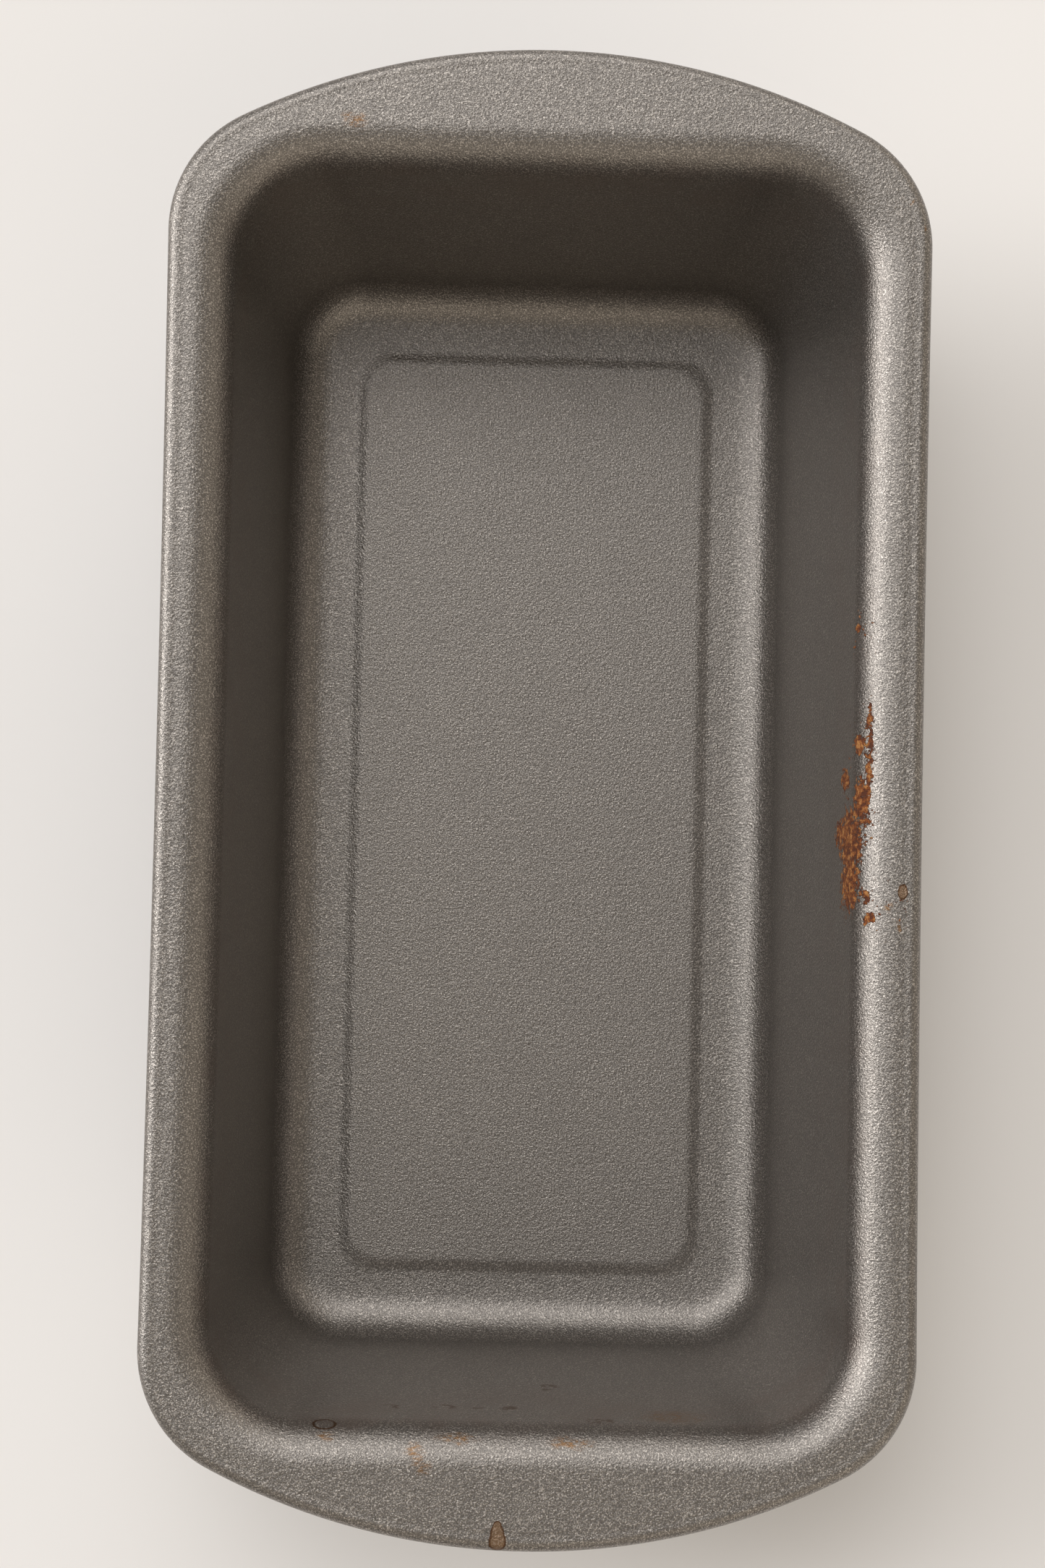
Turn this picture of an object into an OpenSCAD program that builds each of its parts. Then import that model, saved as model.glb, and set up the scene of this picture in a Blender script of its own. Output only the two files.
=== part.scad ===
// Loaf pan: one drawn steel shell with arc-ended handles, rolled over a stiffening wire.
// The long walls run along Y, +Z is up, and the origin lies under the middle of the base.
// Every loop round the pan has the same number of points, so neighbouring loops join in a strip.

/* [Pan] */
// Length over the two handles
pan_l = 256; // [250:1:262]
// Width over the two long edges
pan_w = 131.5; // [128:0.5:135]
// Height from the table to the top of the rolled edge
pan_h = 65; // [50:1:80]
// Thickness of the steel sheet
sheet_t = 0.6; // [0.4:0.1:0.8]

/* [Outline] */
// Radius of the arc that ends each handle
handle_r = 117.4; // [112:0.2:124]
// Radius of the four outer corners
corner_r = 22.4; // [20:0.2:26]

/* [Rim] */
// Width of the rim along a long wall, from the outer edge to where it starts to roll inwards
side_rim = 4.2; // [3.8:0.1:6]
// The same width at the middle of a handle
end_rim = 13.8; // [12:0.1:18]
// Radius where the rim rolls over into the wall
lip_r = 7.6; // [5:0.1:9]
// Radius of the rim's inner corners, seen from above, where it starts to roll inwards
lip_corner_r = 24; // [20:0.5:26]
// How far the rim lies under the top of the rolled edge
rim_drop = 0.05; // [0:0.05:0.3]
// Depth of the groove between the rim and the rolled edge
groove_deep = 0.05; // [0:0.05:0.3]
// Distance from the outer edge to the bottom of that groove
groove_in = 2.66; // [2.4:0.02:3.4]

/* [Rolled edge] */
// Diameter of the wire inside the rolled edge
wire_d = 2.4; // [2:0.1:2.8]
// Play all round the wire
wire_play = 0.1; // [0.1:0.05:0.2]
// Gap between the two ends of the wire, in the middle of a long side
wire_gap = 1; // [0.5:0.1:3]
// Turn of the sheet round the wire
roll_turn = 295; // [250:5:300]

/* [Walls] */
// Lean of the walls
draft = 9; // [6:1:14]
// Radius between the walls and the base
foot_r = 8; // [5:0.5:10]
// Radius of the wall corners just above the base, seen from above
wall_corner_r = 14; // [12:0.5:16]

/* [Base] */
// Height of the pressed panel in the base
panel_rise = 0.5; // [0.3:0.1:1]
// Width of the flat border that the pan stands on
border_w = 4; // [2:0.5:8]
// Width of the sloping step between the border and the panel
step_w = 3; // [1:0.5:4]
// Radius of the panel's corners
panel_corner_r = 6; // [3:0.5:10]

/* [Hidden] */

corner_steps = 12;
end_steps = 7;
lip_steps = 6;
foot_steps = 5;
roll_steps = 10;
wire_sides = 12;

// Heights of the rim, and half sizes of the loop where the rim starts to roll inwards
rim_z = pan_h - rim_drop;
lip_a = pan_w / 2 - side_rim;
lip_b = pan_l / 2 - end_rim;

// Centres of the outer corner arc and of the handle arc, which meet without a kink
corner_x = pan_w / 2 - corner_r;
handle_y = pan_l / 2 - handle_r;
corner_y = handle_y + sqrt(pow(handle_r - corner_r, 2) - pow(corner_x, 2));
join_turn = atan2(corner_y - handle_y, corner_x);

// Rolled edge: outer radius of the sheet round the wire, and the height of its centre
roll_r = wire_d / 2 + wire_play + sheet_t;
roll_z = pan_h - roll_r;

// Middle of the flat strip between the groove and the lip, from the outer edge
rim_in = (groove_in + side_rim) / 2;

// The walls turn through this angle from the flat rim, and again to the flat base
wall_turn = 90 - draft;
wall_run = (rim_z - sheet_t - (lip_r + foot_r) * (1 - cos(wall_turn))) * tan(draft);
foot_in = (lip_r + foot_r) * sin(wall_turn) + wall_run;
foot_a = lip_a - foot_in;
foot_b = lip_b - foot_in;
foot_corner = wall_corner_r - foot_r * sin(wall_turn);

// First quarter of a rounded rectangle of half sizes a and b, from the +X side to the +Y end
function inner_quarter(a, b, r) = concat(
    [for (j = [0:corner_steps]) [a - r, b - r] + r * heading(90 * j / corner_steps)],
    [for (i = [1:end_steps]) [(a - r) * (1 - i / end_steps), b]]
);

// First quarter of the outline, moved inwards by d
function outer_quarter(d) = concat(
    [for (j = [0:corner_steps]) corner_point(90 * j / corner_steps, d)],
    [for (i = [1:end_steps]) handle_point(corner_x * (1 - i / end_steps), handle_r - d)]
);
function corner_point(turn, d) = [corner_x, corner_y] + reach(turn, d) * heading(turn);
// Distance from the corner's centre to the outline: on the corner arc first, then on the handle arc
function reach(turn, d) = turn <= join_turn ? corner_r - d : handle_reach(heading(turn), handle_r - d);
function handle_reach(dir, r) = let (
    from = [corner_x, corner_y - handle_y],
    along = from * dir
) sqrt(pow(along, 2) - from * from + r * r) - along;
function handle_point(x, r) = [x, handle_y + sqrt(r * r - x * x)];
function heading(turn) = [cos(turn), sin(turn)];

// A whole loop from its first quarter, counterclockwise from above
function whole_loop(quarter) = let (
    last = len(quarter) - 1,
    half = concat(quarter, [for (k = [last - 1:-1:0]) [-quarter[k].x, quarter[k].y]])
) concat(half, -half);

function at_height(loop, z) = [for (p = loop) [p.x, p.y, z]];
function inner_loop(a, b, r, z) = at_height(whole_loop(inner_quarter(a, b, r)), z);
function outer_loop(d, z) = at_height(whole_loop(outer_quarter(d)), z);

// Loops on the round lip and on the round foot, at radius r after the sheet has turned so far
function lip_loop(r, turn) = let (in = r * sin(turn))
    inner_loop(lip_a - in, lip_b - in, lip_corner_r - in, rim_z - lip_r + r * cos(turn));
function foot_loop(r, turn) = let (out = r * sin(turn))
    inner_loop(foot_a + out, foot_b + out, foot_corner + out, sheet_t + foot_r - r * cos(turn));
function roll_loop(r, turn) = outer_loop(roll_r - r * cos(turn), roll_z + r * sin(turn));
function panel_loop(in, r, z) = inner_loop(foot_a - in, foot_b - in, r, z);

// One face of the sheet, from the middle of the base outwards to the edge rolled under the rim
function sheet_face(lip, foot, roll, down) = concat(
    [panel_loop(border_w + step_w, panel_corner_r, sheet_t + panel_rise - down)],
    [panel_loop(border_w, panel_corner_r, sheet_t - down)],
    [for (k = [0:foot_steps]) foot_loop(foot, wall_turn * k / foot_steps)],
    [for (k = [lip_steps:-1:0]) lip_loop(lip, wall_turn * k / lip_steps)],
    [outer_loop(rim_in, rim_z - down)],
    [outer_loop(groove_in, rim_z - groove_deep - down)],
    [for (k = [0:roll_steps]) roll_loop(roll, 90 - roll_turn * k / roll_steps)]
);

function reversed(list) = [for (k = [len(list) - 1:-1:0]) list[k]];
function flat(list) = [for (item = list) each item];

// Triangles of the strip between loop k and loop m, where each loop has n points
function strip(k, m, n) = [for (i = [0:n - 1]) let (
    next = (i + 1) % n
) each [[k * n + i, m * n + i, k * n + next], [k * n + next, m * n + i, m * n + next]]];

// Closed skin over a stack of loops: strips between neighbours, and a flat face at each end
function skin(count, n) = concat(
    [[for (i = [0:n - 1]) i]],
    [for (k = [0:count - 2]) each strip(k, k + 1, n)],
    [[for (i = [n - 1:-1:0]) (count - 1) * n + i]]
);

// Closed skin of a tube, whose sides are loops: strips between neighbours, the last joining the first
function tube(count, n) = [for (k = [0:count - 1]) each strip(k, (k + 1) % count, n)];

// Drawn shell: base, four walls, rim with two handles and the edge rolled round the wire
module pan_shell() {
    upper = sheet_face(lip_r, foot_r, roll_r, 0);
    lower = sheet_face(lip_r - sheet_t, foot_r + sheet_t, roll_r - sheet_t, sheet_t);
    loops = concat(upper, reversed(lower));
    color([0.47, 0.46, 0.44])
        polyhedron(flat(loops), skin(len(loops), len(loops[0])), convexity = 8);
}

// Stiffening wire inside the rolled edge, bent from one length, with its two ends meeting at a long side
module rim_wire() {
    sides = [for (k = [0:wire_sides - 1]) roll_loop(wire_d / 2, 360 * k / wire_sides)];
    color([0.72, 0.72, 0.74])
        difference() {
            polyhedron(flat(sides), tube(wire_sides, len(sides[0])), convexity = 8);
            translate([-pan_w / 2, -wire_gap / 2, 0])
                cube([corner_r, wire_gap, pan_h]);
        }
}

pan_shell();
rim_wire();
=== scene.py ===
"""Loaf pan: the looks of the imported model, in its own frame.

The drawn shell and the wire in its rolled edge are made again as finer meshes inside the CAD box.
Lengths are in millimetres until a mesh, material or camera is made, which is in metres.
"""
import math

import bpy
import numpy as np
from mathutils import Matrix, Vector


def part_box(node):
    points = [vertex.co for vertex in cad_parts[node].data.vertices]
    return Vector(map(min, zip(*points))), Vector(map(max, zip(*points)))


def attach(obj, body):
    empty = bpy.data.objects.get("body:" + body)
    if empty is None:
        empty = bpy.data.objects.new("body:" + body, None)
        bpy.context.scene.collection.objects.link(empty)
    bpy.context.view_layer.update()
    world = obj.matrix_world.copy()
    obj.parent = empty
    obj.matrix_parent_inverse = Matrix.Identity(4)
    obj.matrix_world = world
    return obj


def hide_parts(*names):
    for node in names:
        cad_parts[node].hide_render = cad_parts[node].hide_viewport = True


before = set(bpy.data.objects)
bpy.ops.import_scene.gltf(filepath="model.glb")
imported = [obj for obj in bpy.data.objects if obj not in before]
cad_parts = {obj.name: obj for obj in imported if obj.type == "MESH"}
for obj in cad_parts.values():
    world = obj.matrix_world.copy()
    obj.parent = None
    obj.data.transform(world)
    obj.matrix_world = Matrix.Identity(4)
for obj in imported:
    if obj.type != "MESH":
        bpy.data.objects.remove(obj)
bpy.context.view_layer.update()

MM = 0.001

# ---------------------------------------------------------------- sizes, in mm

shell_low, shell_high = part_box("pan_shell")
PAN_W = (shell_high.x - shell_low.x) / MM
PAN_L = (shell_high.y - shell_low.y) / MM
PAN_H = (shell_high.z - shell_low.z) / MM
SHEET = 0.6

HANDLE_R = 117.4
CORNER_R = 22.4
SIDE_RIM = 4.2
END_RIM = 13.8
LIP_R = 7.6
LIP_CORNER_R = 24
RIM_DROP = 0.01
# Depth of the dip between the rim and the roll, and its distance from the lip along a long side
GROOVE_DEEP = 0.02
GROOVE_MARGIN = 0.3
# How far each long side bows in at the middle of its top
SIDE_BOW = 0.4

WIRE_D = 2.4
WIRE_PLAY = 0.1
WIRE_GAP = 1.0
# Degrees by which the sheet turns round the wire from the top of the roll, and starts before that top
ROLL_TURN = 295
ROLL_BACK = 2

DRAFT = 9
FOOT_R = 8
WALL_CORNER_R = 14
PANEL_RISE = 0.5
BORDER_W = 4
STEP_W = 3
PANEL_CORNER_R = 6
# Insets of the loops on the pressed panel, and the inset at which their corners would be sharp
PANEL_INSETS = (26, 20, 14, 7, 3, 1)
PANEL_SHARP = 40

# Half the width of the tabletop
FLOOR_HALF = 8000

# Steps of the finer meshes: along a quarter of a loop, from loop to loop, and round the wire
SIDE_STEPS = 22
CORNER_STEPS = 26
END_STEPS = 26
PANEL_STEPS = 8
FOOT_STEPS = 10
WALL_STEPS = 14
LIP_STEPS = 24
RIM_STEPS = 5
GROOVE_STEPS = 12
ROLL_STEPS = 36
WIRE_SIDES = 16

# Edges that turn by more than this are shaded as edges
SHARP_ANGLE = math.radians(50)

# ---------------------------------------------------------------- derived sizes

RIM_Z = PAN_H - RIM_DROP
LIP_A = PAN_W / 2 - SIDE_RIM
LIP_B = PAN_L / 2 - END_RIM
CORNER_X = PAN_W / 2 - CORNER_R
HANDLE_Y = PAN_L / 2 - HANDLE_R
CORNER_Y = HANDLE_Y + math.sqrt((HANDLE_R - CORNER_R) ** 2 - CORNER_X**2)
JOIN_TURN = math.atan2(CORNER_Y - HANDLE_Y, CORNER_X)
ROLL_R = WIRE_D / 2 + WIRE_PLAY + SHEET
ROLL_Z = PAN_H - ROLL_R
GROOVE_END = SIDE_RIM - GROOVE_MARGIN

WALL_TURN = math.radians(90 - DRAFT)
WALL_RUN = (RIM_Z - SHEET - (LIP_R + FOOT_R) * (1 - math.cos(WALL_TURN))) * math.tan(math.radians(DRAFT))
FOOT_IN = (LIP_R + FOOT_R) * math.sin(WALL_TURN) + WALL_RUN
FOOT_A = LIP_A - FOOT_IN
FOOT_B = LIP_B - FOOT_IN
FOOT_CORNER = WALL_CORNER_R - FOOT_R * math.sin(WALL_TURN)


# ---------------------------------------------------------------- loops round the pan

def join_quarter(side, corner, end):
    """One quarter's points, from the middle of the +X side to the middle of the +Y end."""
    return np.concatenate([side, corner, end])


def inner_quarter(a, b, r):
    """First quarter of a rounded rectangle of half sizes a and b."""
    along = np.arange(SIDE_STEPS) / SIDE_STEPS
    turn = np.linspace(0, math.pi / 2, CORNER_STEPS + 1)
    across = 1 - np.arange(1, END_STEPS + 1) / END_STEPS
    side = np.column_stack([np.full(SIDE_STEPS, a), (b - r) * along])
    corner = np.column_stack([a - r + r * np.cos(turn), b - r + r * np.sin(turn)])
    end = np.column_stack([(a - r) * across, np.full(END_STEPS, b)])
    return join_quarter(side, corner, end)


def outer_quarter(inset):
    """First quarter of the outline moved inwards: straight side, corner arc, then handle arc."""
    corner_r, handle_r = CORNER_R - inset, HANDLE_R - inset
    along = np.arange(SIDE_STEPS) / SIDE_STEPS
    turn = np.linspace(0, math.pi / 2, CORNER_STEPS + 1)
    heading = np.column_stack([np.cos(turn), np.sin(turn)])
    centre = np.array([CORNER_X, CORNER_Y - HANDLE_Y])
    ahead = heading @ centre
    to_handle = np.sqrt(ahead**2 - centre @ centre + handle_r**2) - ahead
    reach = np.where(turn <= JOIN_TURN, corner_r, to_handle)
    across = CORNER_X * (1 - np.arange(1, END_STEPS + 1) / END_STEPS)
    side = np.column_stack([np.full(SIDE_STEPS, PAN_W / 2 - inset), CORNER_Y * along])
    corner = [CORNER_X, CORNER_Y] + heading * reach[:, None]
    end = np.column_stack([across, HANDLE_Y + np.sqrt(handle_r**2 - across**2)])
    return join_quarter(side, corner, end)


def whole_loop(quarter, z):
    """A closed loop at height z, counterclockwise from above, its long sides bowed in a little."""
    half = np.concatenate([quarter, quarter[-2::-1] * [-1, 1]])[:-1]
    loop = np.concatenate([half, -half])
    bow = SIDE_BOW * np.clip(1 - (loop[:, 1] / CORNER_Y) ** 2, 0, None) * (z / PAN_H)
    loop[:, 0] *= 1 - bow / (PAN_W / 2)
    return np.column_stack([loop, np.full(len(loop), z)])


def inner_loop(a, b, r, z):
    return whole_loop(inner_quarter(a, b, r), z)


def outer_loop(inset, z):
    return whole_loop(outer_quarter(inset), z)


def lip_loop(r, turn):
    inwards = r * math.sin(turn)
    z = RIM_Z - LIP_R + r * math.cos(turn)
    return inner_loop(LIP_A - inwards, LIP_B - inwards, LIP_CORNER_R - inwards, z)


def foot_loop(r, turn):
    outwards = r * math.sin(turn)
    z = SHEET + FOOT_R - r * math.cos(turn)
    return inner_loop(FOOT_A + outwards, FOOT_B + outwards, FOOT_CORNER + outwards, z)


def roll_loop(r, turn):
    return outer_loop(ROLL_R - r * math.cos(turn), ROLL_Z + r * math.sin(turn))


def between(first, last, shares):
    """Loops between two others, at these shares of the way."""
    return [first + (last - first) * s for s in shares]


def steps(count):
    """Shares of the way from 0 to 1, without either end."""
    return np.arange(1, count) / count


# ---------------------------------------------------------------- the sheet's two faces

def base_loops(down):
    """Panel, step and border of the base, from the middle outwards."""
    top = SHEET + PANEL_RISE - down
    low = SHEET - down
    loops = []
    for inset in PANEL_INSETS:
        corner = PANEL_CORNER_R * (1 - inset / PANEL_SHARP)
        side = BORDER_W + STEP_W + inset
        loops.append(inner_loop(FOOT_A - side, FOOT_B - side, corner, top))
    for share in np.linspace(0, 1, PANEL_STEPS + 1):
        side = BORDER_W + STEP_W * (1 - share)
        z = top + (low - top) * (1 - math.cos(math.pi * share)) / 2
        loops.append(inner_loop(FOOT_A - side, FOOT_B - side, PANEL_CORNER_R, z))
    side = BORDER_W / 2
    corner = (PANEL_CORNER_R + FOOT_CORNER) / 2
    loops.append(inner_loop(FOOT_A - side, FOOT_B - side, corner, low))
    return loops


def groove_loops(roll, down):
    """The shallow dip between the flat rim and the rolled edge, from the rim outwards."""
    back = math.radians(ROLL_BACK)
    inset = ROLL_R + roll * math.sin(back)
    run = GROOVE_END - inset
    start_z = RIM_Z - down
    end_z = ROLL_Z + roll * math.cos(back)
    end_slope = run * math.tan(back)
    loops = []
    for s in np.linspace(0, 1, GROOVE_STEPS + 1)[:-1]:
        z = (start_z * (2 * s**3 - 3 * s**2 + 1)
             + end_z * (3 * s**2 - 2 * s**3)
             + end_slope * (s**3 - s**2)
             - GROOVE_DEEP * math.sin(math.pi * s) ** 2)
        loops.append(outer_loop(GROOVE_END - run * s, z))
    return loops


def sheet_face(lip, foot, roll, down):
    """One face of the sheet, from the middle of the base outwards to the edge rolled under the rim."""
    foot_turns = np.linspace(0, WALL_TURN, FOOT_STEPS + 1)
    lip_turns = np.linspace(WALL_TURN, 0, LIP_STEPS + 1)
    roll_turns = np.radians(np.linspace(90 + ROLL_BACK, 90 - ROLL_TURN, ROLL_STEPS + 1))
    feet = [foot_loop(foot, t) for t in foot_turns]
    lips = [lip_loop(lip, t) for t in lip_turns]
    wall = between(feet[-1], lips[0], steps(WALL_STEPS))
    groove = groove_loops(roll, down)
    rim = between(lips[-1], groove[0], steps(RIM_STEPS))
    rolled = [roll_loop(roll, t) for t in roll_turns]
    return base_loops(down) + feet + wall + lips + rim + groove + rolled


# ---------------------------------------------------------------- meshes

def new_mesh(name, points_mm, faces):
    mesh = bpy.data.meshes.new(name)
    mesh.from_pydata((np.asarray(points_mm) * MM).tolist(), [], faces)
    mesh.validate()
    mesh.update()
    mesh.shade_smooth()
    piece = bpy.data.objects.new(name, mesh)
    bpy.context.scene.collection.objects.link(piece)
    return piece


def strip(k, m, n):
    """Quads between loop k and loop m, each of n points."""
    return [(k * n + i, m * n + i, m * n + (i + 1) % n, k * n + (i + 1) % n) for i in range(n)]


def make_shell():
    """Drawn shell: both faces of the sheet, closed at the cut edge inside the roll."""
    upper = sheet_face(LIP_R, FOOT_R, ROLL_R, 0)
    lower = sheet_face(LIP_R - SHEET, FOOT_R + SHEET, ROLL_R - SHEET, SHEET)
    loops = upper + lower[::-1]
    n = len(loops[0])
    middles = [[0, 0, upper[0][0, 2]], [0, 0, lower[0][0, 2]]]
    top = len(loops) * n
    under = top + 1
    last = top - n
    faces = [(top, i, (i + 1) % n) for i in range(n)]
    for k in range(len(loops) - 1):
        faces += strip(k, k + 1, n)
    faces += [(under, last + (i + 1) % n, last + i) for i in range(n)]
    shell = new_mesh("nonstick_shell", np.concatenate(loops + [middles]), faces)
    shell.data.set_sharp_from_angle(angle=SHARP_ANGLE)
    return shell


def make_wire():
    """Stiffening wire inside the roll, open where its two ends meet on the -X side."""
    sides = [roll_loop(WIRE_D / 2, t) for t in np.linspace(0, 2 * math.pi, WIRE_SIDES + 1)[:-1]]
    n = len(sides[0])
    start = n // 2
    rings = np.stack(sides, axis=1)
    rings = np.roll(rings, -start, axis=0)
    first, last = rings[0].copy(), rings[0].copy()
    first[:, 1] = -WIRE_GAP / 2
    last[:, 1] = WIRE_GAP / 2
    rings = np.concatenate([[first], rings[1:], [last]])
    count, around = rings.shape[:2]
    faces = [tuple(range(around))]
    for k in range(count - 1):
        faces += strip(k, k + 1, around)
    faces.append(tuple((count - 1) * around + i for i in reversed(range(around))))
    wire = new_mesh("stiffening_wire", rings.reshape(-1, 3), faces)
    wire.data.set_sharp_from_angle(angle=SHARP_ANGLE)
    return wire


# ---------------------------------------------------------------- materials

class Nodes:
    """Short calls for the nodes of one material."""

    def __init__(self, name):
        self.material = bpy.data.materials.new(name)
        self.material.use_nodes = True
        self.tree = self.material.node_tree
        self.shader = self.tree.nodes["Principled BSDF"]
        place = self.tree.nodes.new("ShaderNodeTexCoord")
        self.coords = place.outputs["Object"]
        self.normals = place.outputs["Normal"]

    def put(self, socket, value):
        if isinstance(value, bpy.types.NodeSocket):
            self.tree.links.new(value, socket)
        elif value is not None:
            socket.default_value = value

    def math(self, operation, a, b=None, c=None):
        node = self.tree.nodes.new("ShaderNodeMath")
        node.operation = operation
        for socket, value in zip(node.inputs, (a, b, c)):
            self.put(socket, value)
        return node.outputs[0]

    def vector_math(self, operation, a, b=None, c=None):
        node = self.tree.nodes.new("ShaderNodeVectorMath")
        node.operation = operation
        for socket, value in zip(node.inputs, (a, b, c)):
            self.put(socket, value)
        return node

    def noise(self, size_mm, detail=2.0, roughness=0.5, where=None, output="Fac"):
        node = self.tree.nodes.new("ShaderNodeTexNoise")
        self.put(node.inputs["Vector"], where or self.coords)
        node.inputs["Scale"].default_value = 1 / (size_mm * MM)
        node.inputs["Detail"].default_value = detail
        node.inputs["Roughness"].default_value = roughness
        return node.outputs[output]

    def warped(self, size_mm, shift_mm):
        """Coordinates that wander by up to half of shift_mm, to roughen an outline."""
        wander = self.noise(size_mm, 3.0, output="Color")
        centred = self.vector_math("SUBTRACT", wander, (0.5, 0.5, 0.5)).outputs[0]
        return self.vector_math("MULTIPLY_ADD", centred, (shift_mm * MM,) * 3, self.coords).outputs[0]

    def spots(self, where, spots):
        """Distance to the nearest of some ellipsoids (centre and radii in mm), 1 on the ellipsoid."""
        nearest = None
        for centre, radii in spots:
            scale = [1 / (r * MM) for r in radii]
            shift = [-c / r for c, r in zip(centre, radii)]
            inside = self.vector_math("MULTIPLY_ADD", where, scale, shift).outputs[0]
            distance = self.vector_math("LENGTH", inside).outputs["Value"]
            nearest = distance if nearest is None else self.math("MINIMUM", nearest, distance)
        return nearest

    def ramp(self, value, low, high, to_low=0.0, to_high=1.0):
        """Smooth step from to_low to to_high as value goes from low to high."""
        node = self.tree.nodes.new("ShaderNodeMapRange")
        node.interpolation_type = "SMOOTHSTEP"
        for socket, v in zip(node.inputs, (value, low, high, to_low, to_high)):
            self.put(socket, v)
        return node.outputs["Result"]

    def blend(self, share, a, b):
        """Colour a at share 0, colour b at share 1."""
        node = self.tree.nodes.new("ShaderNodeMix")
        node.data_type = "RGBA"
        self.put(node.inputs["Factor"], share)
        self.put(node.inputs["A"], a)
        self.put(node.inputs["B"], b)
        return node.outputs["Result"]

    def bump(self, height, depth_mm, over=None):
        node = self.tree.nodes.new("ShaderNodeBump")
        node.inputs["Distance"].default_value = depth_mm * MM
        node.inputs["Strength"].default_value = 1.0
        self.put(node.inputs["Height"], height)
        self.put(node.inputs["Normal"], over)
        return node.outputs["Normal"]


TABLE = (0.73, 0.712, 0.696, 1)
TABLE_LIGHT = (0.76, 0.742, 0.726, 1)
STEEL_DARK = (0.42, 0.42, 0.42, 1)
STEEL = (0.6, 0.6, 0.61, 1)
COATING = (0.23, 0.21, 0.19, 1)
COATING_DARK = (0.145, 0.132, 0.12, 1)
COATING_LIGHT = (0.52, 0.475, 0.43, 1)
HAZE = (0.19, 0.148, 0.125, 1)
OIL = (0.21, 0.105, 0.035, 1)
OIL_EDGE = (0.075, 0.033, 0.012, 1)
CRUST_LIGHT = (0.40, 0.17, 0.045, 1)
CRUST = (0.21, 0.055, 0.006, 1)
CRUST_DARK = (0.085, 0.018, 0.002, 1)

# Marks on the pan: centre, then radii, in mm
CRUST_PATCHES = [
    ((53.9, -7, 57.5), (2.4, 5.8, 6.2)),
    ((53.9, -14, 57.5), (2.2, 5.4, 5)),
    ((55.2, -0.5, 61.6), (1.8, 4.2, 2.2)),
    ((52.9, -5.5, 51.5), (1.2, 2.4, 3)),
    ((53.4, 3.6, 54.5), (1.2, 2.1, 2.8)),
    ((55.0, 9.3, 61), (1.4, 1.9, 2.4)),
    ((56.3, 7, 62.9), (0.7, 9.5, 0.8)),
    ((56.1, -16.8, 62.7), (0.9, 1.2, 1)),
    ((56.6, -20.8, 63.1), (1.2, 1.1, 0.9)),
    ((54.6, 29.6, 60.3), (1.0, 0.7, 1.0)),
    ((54.2, 26.1, 59.1), (0.7, 0.5, 0.8)),
]
CRUMB_FIELDS = [
    ((55, -3, 60), (4, 24, 9)),
    ((59, -19, 65), (5, 6, 3)),
    ((56, 28, 60), (4, 7, 5)),
]
DRIPS = [
    ((-4.6, -126.2, 65), (1.4, 1.7, 2)),
    ((-4.65, -124.9, 65), (1.1, 1.6, 2)),
    ((-4.7, -123.8, 65), (0.7, 1.0, 2)),
    ((62.0, -15.9, 65), (0.8, 1.3, 2)),
]
RINGS = [((-34.1, -107.6, 61.1), (1.9, 1.1, 1.5))]
SMEARS = [
    ((-18.7, -111.9, 64.6), (1.6, 2.6, 3)),
    ((-17.2, -114.3, 65), (1.4, 1.4, 3)),
    ((-11.6, -109.3, 63), (4.2, 1.1, 2)),
    ((-34.0, -109.4, 63), (1.8, 0.9, 2)),
    ((7.5, -109.8, 63.5), (4.5, 1.1, 2)),
    ((-34.2, 114.2, 65), (2.6, 1.6, 2)),
    ((25.5, -106.3, 55), (7, 2.5, 5)),
    ((59.3, -18.7, 65), (0.7, 1.0, 2)),
    ((61.3, -21.5, 65), (0.5, 1.3, 2)),
    ((62.2, 102.9, 65), (0.6, 0.5, 2)),
    ((64.2, 98.3, 65), (0.5, 0.6, 2)),
    ((54.8, 97.5, 64), (0.6, 0.5, 2)),
]
WISPS = [
    ((-23, -105.6, 51.6), (2.2, 1.5, 1.8)),
    ((-13.7, -105.5, 51), (2.6, 1.5, 1.8)),
    ((-8.1, -105.4, 50.7), (1.8, 1.5, 1.6)),
    ((-2.8, -105.5, 51.2), (2.0, 1.5, 1.6)),
    ((4.7, -103.4, 37.8), (2.4, 1.5, 3)),
    ((12.7, -106.6, 58.3), (3.0, 1.5, 2)),
]


def baked_on(n):
    """Share of the surface under the baked-on crust at the top of the +X wall, with loose crumbs round it."""
    edge = n.spots(n.warped(2.2, 2.4), CRUST_PATCHES)
    ragged = n.math("MULTIPLY_ADD", n.noise(0.9, 5.0, 0.7), 2.8, n.math("SUBTRACT", edge, 1.4))
    patch = n.ramp(ragged, 1.0, 0.9)
    near = n.ramp(n.spots(n.coords, CRUMB_FIELDS), 1.0, 0.5)
    crumbs = n.math("MULTIPLY", near, n.ramp(n.noise(1.0, 3.0, 0.6), 0.635, 0.66))
    return n.math("MAXIMUM", patch, crumbs)


def drip_marks(n):
    """Dried drips and rings: how much of their film, and of the dark line round them, a point has."""
    rough_place = n.warped(1.5, 0.5)
    drip_edge = n.spots(rough_place, DRIPS)
    film = n.ramp(drip_edge, 1.0, 0.93)
    edge = n.math("MINIMUM", drip_edge, n.spots(rough_place, RINGS))
    line = n.math("MULTIPLY", n.ramp(edge, 1.14, 1.02), n.ramp(edge, 0.74, 0.92))
    return film, line


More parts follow.
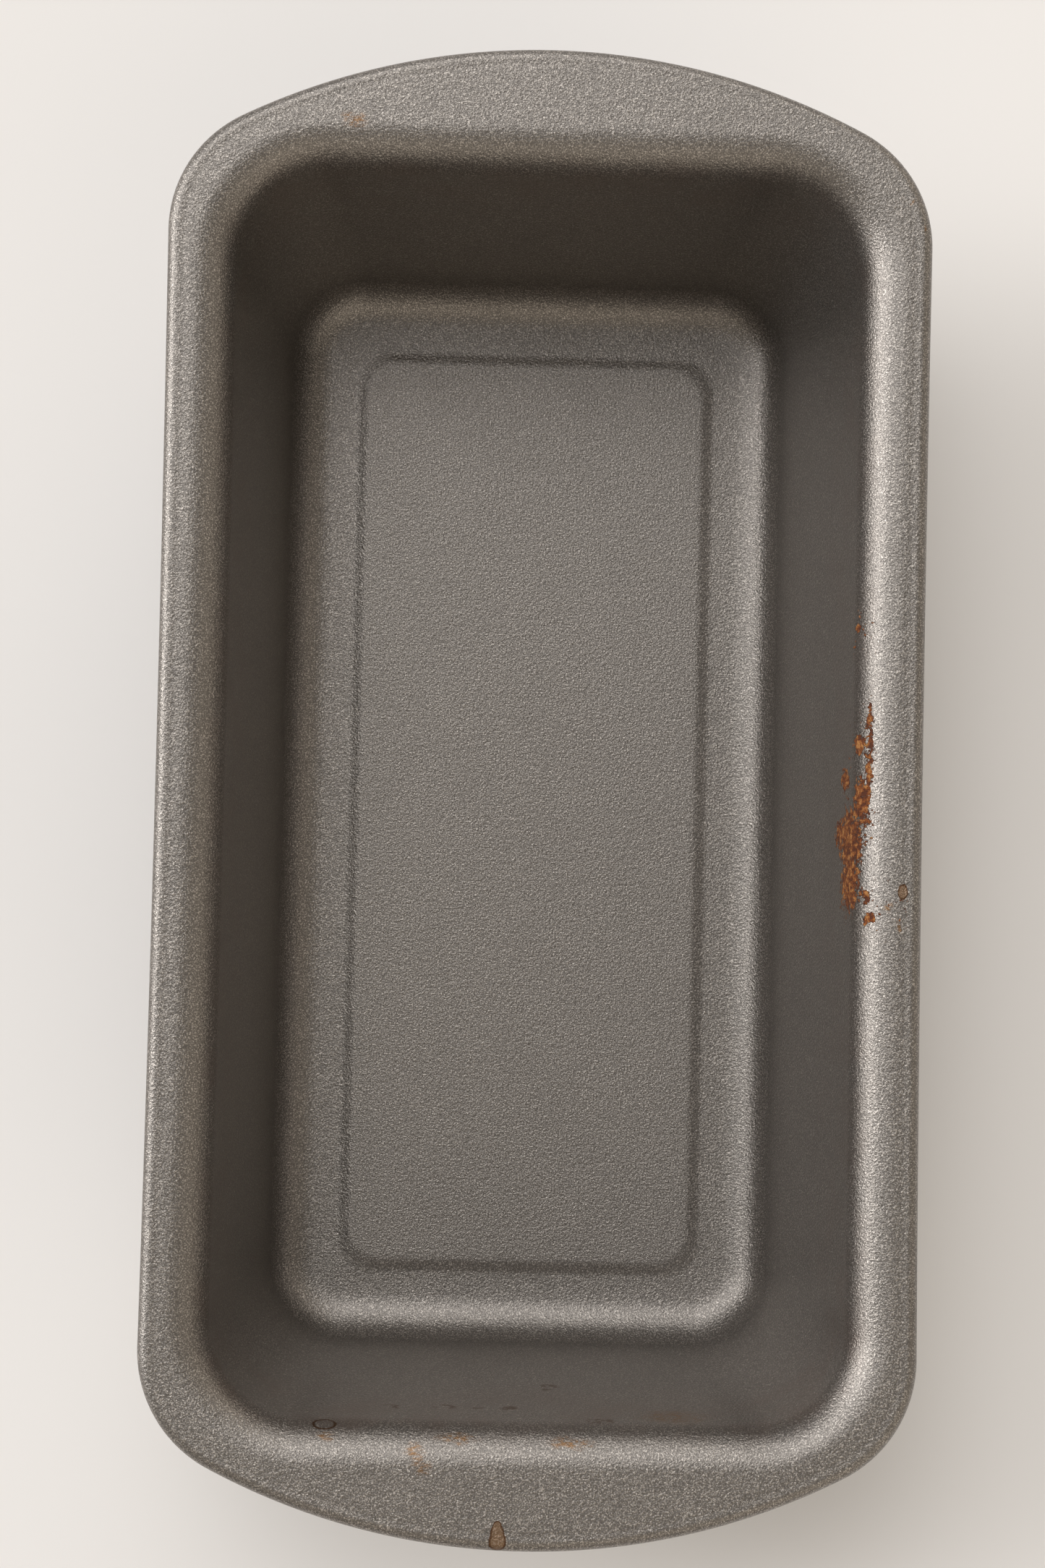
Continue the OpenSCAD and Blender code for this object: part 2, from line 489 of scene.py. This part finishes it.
def smears(n):
    """Thin brown smears, broken into short streaks so that the coating shows through."""
    near = n.ramp(n.spots(n.warped(2.0, 2.6), SMEARS), 1.15, 0.3)
    stretched = n.vector_math("MULTIPLY", n.coords, (0.6, 1.3, 1.3)).outputs[0]
    streak = n.ramp(n.noise(0.55, 3.0, 0.6, stretched), 0.44, 0.62, 0.12, 0.8)
    return n.math("MULTIPLY", near, streak)


def wisps(n):
    """Small reddish-brown ticks on the -Y wall."""
    near = n.ramp(n.spots(n.coords, WISPS), 1.0, 0.6)
    tick = n.ramp(n.noise(1.5, 3.0, 0.55, n.warped(4, 3)), 0.5, 0.56)
    return n.math("MULTIPLY", n.math("MULTIPLY", near, tick), 0.75)


def wall_haze(n):
    """Brown film that baking leaves on the upper walls, in clouds, heavier at the -Y end."""
    place = n.tree.nodes.new("ShaderNodeSeparateXYZ")
    n.put(place.inputs[0], n.coords)
    height = n.ramp(place.outputs["Z"], 30 * MM, 56 * MM)
    below_rim = n.ramp(place.outputs["Z"], 64.5 * MM, 61 * MM)
    near_end = n.ramp(place.outputs["Y"], -60 * MM, -110 * MM, 0.6, 1.0)
    cloud = n.ramp(n.noise(9, 4.0, 0.6), 0.35, 0.7, 0.2, 1.0)
    share = n.math("MULTIPLY", n.math("MULTIPLY", height, below_rim), n.math("MULTIPLY", near_end, cloud))
    return n.math("MULTIPLY", share, 0.6)


def upper_face(n):
    """1 on the sheet's inner and upper face, 0 on its outside, which baking leaves clean."""
    facing = n.tree.nodes.new("ShaderNodeSeparateXYZ")
    n.put(facing.inputs[0], n.normals)
    return n.ramp(facing.outputs["Z"], 0.0, 0.12)


def coating():
    """Grey non-stick coating with a fine metallic fleck, and the marks that baking has left on it."""
    n = Nodes("nonstick_coating")
    fleck = n.noise(0.27, 2.0, 0.65)
    peel = n.noise(0.45, 1.0, 0.5)
    cloud = n.noise(14, 3.0)
    flecked = n.blend(n.ramp(fleck, 0.38, 0.6), COATING_DARK, COATING)
    flecked = n.blend(n.ramp(fleck, 0.52, 0.72), flecked, COATING_LIGHT)
    flecked = n.blend(n.ramp(cloud, 0.3, 0.75, 0.0, 0.12), flecked, COATING_DARK)

    film, line = drip_marks(n)
    inside = upper_face(n)
    colour = n.blend(n.math("MULTIPLY", wall_haze(n), inside), flecked, HAZE)
    oily = n.math("MAXIMUM", smears(n), n.math("MULTIPLY", film, 0.6))
    colour = n.blend(n.math("MULTIPLY", oily, inside), colour, OIL)
    dark = n.math("MAXIMUM", n.math("MULTIPLY", line, 0.9), wisps(n))
    colour = n.blend(n.math("MULTIPLY", dark, inside), colour, OIL_EDGE)

    crust = n.math("MULTIPLY", baked_on(n), inside)
    crumb = n.noise(1.1, 5.0, 0.7)
    crust_colour = n.blend(n.ramp(crumb, 0.44, 0.5), CRUST_DARK, CRUST)
    crust_colour = n.blend(n.ramp(crumb, 0.52, 0.6), crust_colour, CRUST_LIGHT)
    n.put(n.shader.inputs["Base Color"], n.blend(crust, colour, crust_colour))
    n.put(n.shader.inputs["Metallic"], n.ramp(crust, 0.0, 1.0, 0.8, 0.0))
    rough = n.ramp(fleck, 0.3, 0.7, 0.28, 0.36)
    n.put(n.shader.inputs["Roughness"], n.math("MULTIPLY_ADD", crust, 0.4, rough))
    skin = n.bump(n.math("ADD", fleck, peel), 0.08)
    height = n.math("MULTIPLY", crust, n.ramp(crumb, 0.2, 0.8, 0.4, 1.0))
    n.put(n.shader.inputs["Normal"], n.bump(height, 0.6, over=skin))
    return n.material


def bright_steel():
    """Plain drawn wire."""
    n = Nodes("wire_steel")
    grain = n.noise(0.3, 3.0)
    n.put(n.shader.inputs["Base Color"], n.blend(grain, STEEL_DARK, STEEL))
    n.put(n.shader.inputs["Roughness"], n.ramp(grain, 0.3, 0.7, 0.28, 0.42))
    n.shader.inputs["Metallic"].default_value = 1.0
    return n.material


def tabletop():
    """Pale off-white painted board."""
    n = Nodes("tabletop")
    cloud = n.noise(120, 3.0)
    n.put(n.shader.inputs["Base Color"], n.blend(cloud, TABLE, TABLE_LIGHT))
    n.shader.inputs["Roughness"].default_value = 0.85
    n.shader.inputs["Specular IOR Level"].default_value = 0.2
    return n.material


# ---------------------------------------------------------------- camera, lights and floor

# Place and lens of the camera in mm, and its turn about X, Y and Z in degrees
CAMERA_AT = (-22.96, -36.07, 660.4)
CAMERA_TURN = (3.521, -1.987, 1.224)
SENSOR_WIDTH = 36
LENS = 80.76


def make_camera():
    """Looks down from 0.6 m above the rim, a few degrees off square."""
    data = bpy.data.cameras.new("camera")
    data.sensor_width = SENSOR_WIDTH
    data.lens = LENS
    data.clip_start = 0.01
    data.clip_end = 20
    camera = bpy.data.objects.new("camera", data)
    bpy.context.scene.collection.objects.link(camera)
    camera.location = Vector(CAMERA_AT) * MM
    camera.rotation_euler = [math.radians(a) for a in CAMERA_TURN]
    bpy.context.scene.camera = camera


# What the camera sees beyond the table
BACKDROP = (0.72, 0.70, 0.67, 1)

# Soft lights far away: azimuth (0 towards +Y, 90 towards -X), elevation, tightness, strength, colour
COOL = (1.0, 0.995, 0.995)
WARM = (1.0, 0.9, 0.77)
SKY_LIGHTS = [
    (75, 33, 70, 15.5, COOL),
    (80, 10, 10, 2.8, COOL),
    (0, 38, 18, 2.7, COOL),
    (30, 60, 24, 3.4, COOL),
    (20, 72, 60, 2.2, COOL),
    (60, 80, 60, 0.6, COOL),
    (140, 32, 20, 0.7, WARM),
    (195, 45, 10, 1.15, WARM),
    (265, 30, 10, 0.4, WARM),
    (310, 24, 10, 1.1, WARM),
    (230, 20, 10, 0.8, WARM),
]


class SkyNodes:
    """A world made of soft round lights, with an even backdrop where the camera sees it directly."""

    def __init__(self, name):
        self.world = bpy.data.worlds.new(name)
        self.world.use_nodes = True
        self.tree = self.world.node_tree
        self.direction = self.new("ShaderNodeTexCoord").outputs["Generated"]
        self.total = None

    def new(self, kind, operation=None, inputs=()):
        node = self.tree.nodes.new(kind)
        if operation:
            node.operation = operation
        for socket, value in zip(node.inputs, inputs):
            if isinstance(value, bpy.types.NodeSocket):
                self.tree.links.new(value, socket)
            elif value is not None:
                socket.default_value = value
        return node

    def add(self, azimuth, elevation, tightness, strength, colour):
        a, e = math.radians(azimuth), math.radians(elevation)
        towards = (-math.sin(a) * math.cos(e), math.cos(a) * math.cos(e), math.sin(e))
        near = self.new("ShaderNodeVectorMath", "DOT_PRODUCT", (self.direction, towards)).outputs["Value"]
        fade = self.new("ShaderNodeMath", "MULTIPLY_ADD", (near, tightness, -tightness)).outputs[0]
        glow = self.new("ShaderNodeMath", "EXPONENT", (fade,)).outputs[0]
        spread = self.new("ShaderNodeCombineXYZ", None, (glow, glow, glow)).outputs[0]
        tint = tuple(strength * c for c in colour)
        base = (0, 0, 0) if self.total is None else self.total
        self.total = self.new("ShaderNodeVectorMath", "MULTIPLY_ADD", (spread, tint, base)).outputs[0]

    def finish(self, backdrop):
        seen = self.new("ShaderNodeLightPath").outputs["Is Camera Ray"]
        mix = self.new("ShaderNodeMix")
        mix.data_type = "RGBA"
        self.tree.links.new(seen, mix.inputs["Factor"])
        self.tree.links.new(self.total, mix.inputs["A"])
        mix.inputs["B"].default_value = backdrop
        self.tree.links.new(mix.outputs["Result"], self.tree.nodes["Background"].inputs["Color"])
        return self.world


def make_lights():
    sky = SkyNodes("studio")
    for light in SKY_LIGHTS:
        sky.add(*light)
    bpy.context.scene.world = sky.finish(BACKDROP)


def make_floor():
    low, high = -FLOOR_HALF, FLOOR_HALF
    corners = [(low, low, 0), (high, low, 0), (high, high, 0), (low, high, 0)]
    floor = new_mesh("tabletop", corners, [(0, 1, 2, 3)])
    floor.data.materials.append(tabletop())


# ---------------------------------------------------------------- scene

bpy.context.scene.view_settings.view_transform = "Standard"

make_camera()
make_lights()
make_floor()

shell = make_shell()
shell.data.materials.append(coating())
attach(shell, "root")
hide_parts("pan_shell")

wire = make_wire()
wire.data.materials.append(bright_steel())
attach(wire, "root")
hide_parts("rim_wire")
